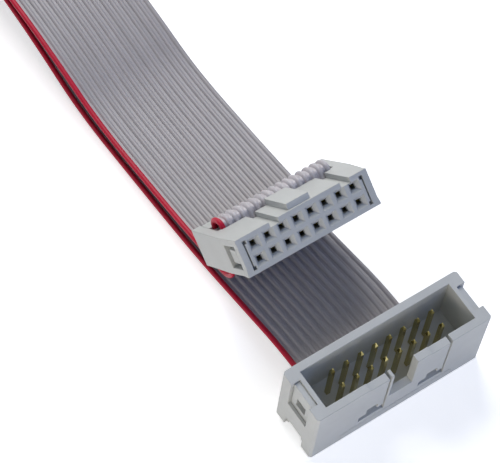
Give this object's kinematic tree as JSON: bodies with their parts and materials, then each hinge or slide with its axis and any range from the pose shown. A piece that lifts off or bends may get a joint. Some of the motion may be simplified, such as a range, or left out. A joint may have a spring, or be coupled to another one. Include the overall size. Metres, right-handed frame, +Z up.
{
  "type": "ribbon cable",
  "caption": "Flat grey ribbon cable with one red edge wire, folded once, with a pin box header at one end and a socket with strain relief at the other.",
  "frame": {"origin": "on the surface that the cable lies on, below the middle of the two connectors' common box", "axes": "+X along the ribbon from its fold towards the header, +Y across the ribbon away from its red wire, +Z up"},
  "size_m": [0.1546, 0.031, 0.0238],
  "materials": {
    "ribbon_pvc": "soft satin grey PVC, first wire red",
    "header_plastic": "fine moulded grey",
    "socket_plastic": "fine moulded pale grey",
    "gold_plated_brass": "gold flash",
    "copper_strand": "bare copper"
  },
  "bodies": {
    "root": {"ribbon_insulation": "ribbon_pvc", "header_body": "header_plastic", "header_cover": "header_plastic", "socket_body": "socket_plastic", "socket_cover": "socket_plastic", "socket_strain_relief": "socket_plastic", "ribbon_conductor_01": "copper_strand", "ribbon_conductor_02": "copper_strand", "ribbon_conductor_03": "copper_strand", "ribbon_conductor_04": "copper_strand", "ribbon_conductor_05": "copper_strand", "ribbon_conductor_06": "copper_strand", "ribbon_conductor_07": "copper_strand", "ribbon_conductor_08": "copper_strand", "ribbon_conductor_09": "copper_strand", "ribbon_conductor_10": "copper_strand", "ribbon_conductor_11": "copper_strand", "ribbon_conductor_12": "copper_strand", "ribbon_conductor_13": "copper_strand", "ribbon_conductor_14": "copper_strand", "ribbon_conductor_15": "copper_strand", "ribbon_conductor_16": "copper_strand", "header_pin_01": "gold_plated_brass", "header_pin_02": "gold_plated_brass", "header_pin_03": "gold_plated_brass", "header_pin_04": "gold_plated_brass", "header_pin_05": "gold_plated_brass", "header_pin_06": "gold_plated_brass", "header_pin_07": "gold_plated_brass", "header_pin_08": "gold_plated_brass", "header_pin_09": "gold_plated_brass", "header_pin_10": "gold_plated_brass", "header_pin_11": "gold_plated_brass", "header_pin_12": "gold_plated_brass", "header_pin_13": "gold_plated_brass", "header_pin_14": "gold_plated_brass", "header_pin_15": "gold_plated_brass", "header_pin_16": "gold_plated_brass", "socket_contact_01": "gold_plated_brass", "socket_contact_02": "gold_plated_brass", "socket_contact_03": "gold_plated_brass", "socket_contact_04": "gold_plated_brass", "socket_contact_05": "gold_plated_brass", "socket_contact_06": "gold_plated_brass", "socket_contact_07": "gold_plated_brass", "socket_contact_08": "gold_plated_brass", "socket_contact_09": "gold_plated_brass", "socket_contact_10": "gold_plated_brass", "socket_contact_11": "gold_plated_brass", "socket_contact_12": "gold_plated_brass", "socket_contact_13": "gold_plated_brass", "socket_contact_14": "gold_plated_brass", "socket_contact_15": "gold_plated_brass", "socket_contact_16": "gold_plated_brass"}
  },
  "joints": []
}
